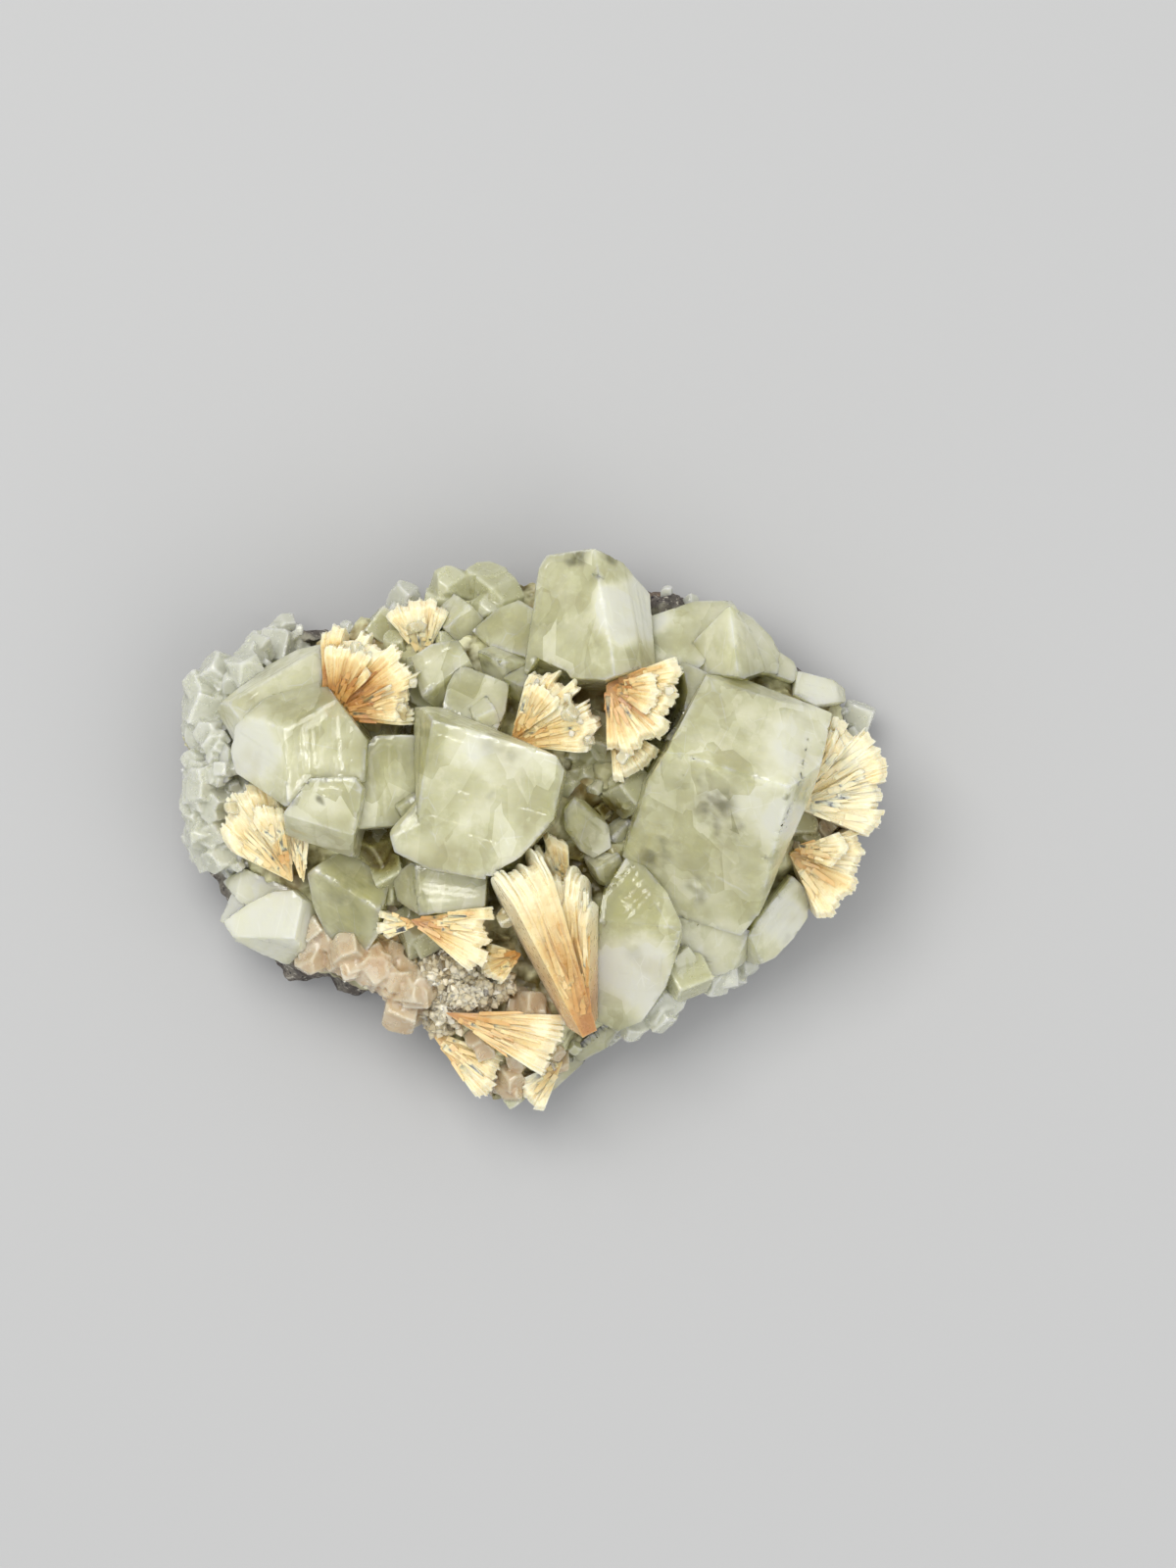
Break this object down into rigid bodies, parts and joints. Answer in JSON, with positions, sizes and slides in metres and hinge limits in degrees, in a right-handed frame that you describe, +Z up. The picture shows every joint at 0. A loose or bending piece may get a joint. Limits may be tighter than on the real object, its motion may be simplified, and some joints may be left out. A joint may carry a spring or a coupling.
{
  "type": "zeolite specimen",
  "caption": "Cabinet mineral specimen: blocky pale green apophyllite crystals and fanned peach stilbite sheaves on a dark basalt matrix.",
  "frame": {"origin": "on the resting plane, under the middle of the specimen's bounding box", "axes": "+X east along the specimen's length, +Y north across it, +Z up out of the crystal side; north is the side of the tallest rim crystal"},
  "size_m": [0.12, 0.0946, 0.0499],
  "materials": {
    "apophyllite": "pale green translucent crystal with glassy, slightly frosted faces",
    "stilbite": "peach to cream satin blades, orange towards the root of each sheaf",
    "rim": "cloudy white to pale green crystal, rough",
    "crust": "pale olive crystalline crust, dark in the gaps",
    "quartz": "sparkling grey-white drusy quartz with brown dust",
    "basalt": "matt dark grey basalt, rough and broken"
  },
  "bodies": {
    "root": {"apophyllite_east": "apophyllite", "apophyllite_center": "apophyllite", "apophyllite_north": "apophyllite", "apophyllite_southeast": "apophyllite", "apophyllite_south_rim": "apophyllite", "apophyllite_west": "apophyllite", "apophyllite_cube_pair": "apophyllite", "apophyllite_bead": "apophyllite", "apophyllite_north_shelf": "apophyllite", "apophyllite_saddle": "apophyllite", "apophyllite_peak": "apophyllite", "apophyllite_east_rim": "apophyllite", "apophyllite_east_shard": "apophyllite", "apophyllite_south_block": "apophyllite", "apophyllite_smoky": "apophyllite", "apophyllite_white": "apophyllite", "apophyllite_hollow": "apophyllite", "stilbite_center": "stilbite", "stilbite_center_back": "stilbite", "stilbite_north_left": "stilbite", "stilbite_north_right": "stilbite", "stilbite_northwest": "stilbite", "stilbite_bow_tie": "stilbite", "stilbite_west": "stilbite", "stilbite_west_plate": "stilbite", "stilbite_east_upper": "stilbite", "stilbite_east_middle": "stilbite", "stilbite_east_lower": "stilbite", "stilbite_small": "stilbite", "stilbite_south": "stilbite", "stilbite_south_rim_left": "stilbite", "stilbite_south_rim_right": "stilbite", "stilbite_pink_mass": "stilbite", "stilbite_north_rim": "stilbite", "quartz_druse": "quartz", "rim_west": "rim", "rim_southeast": "rim", "rim_northwest": "rim", "basalt_matrix": "basalt", "pale_crust": "crust"}
  },
  "joints": []
}
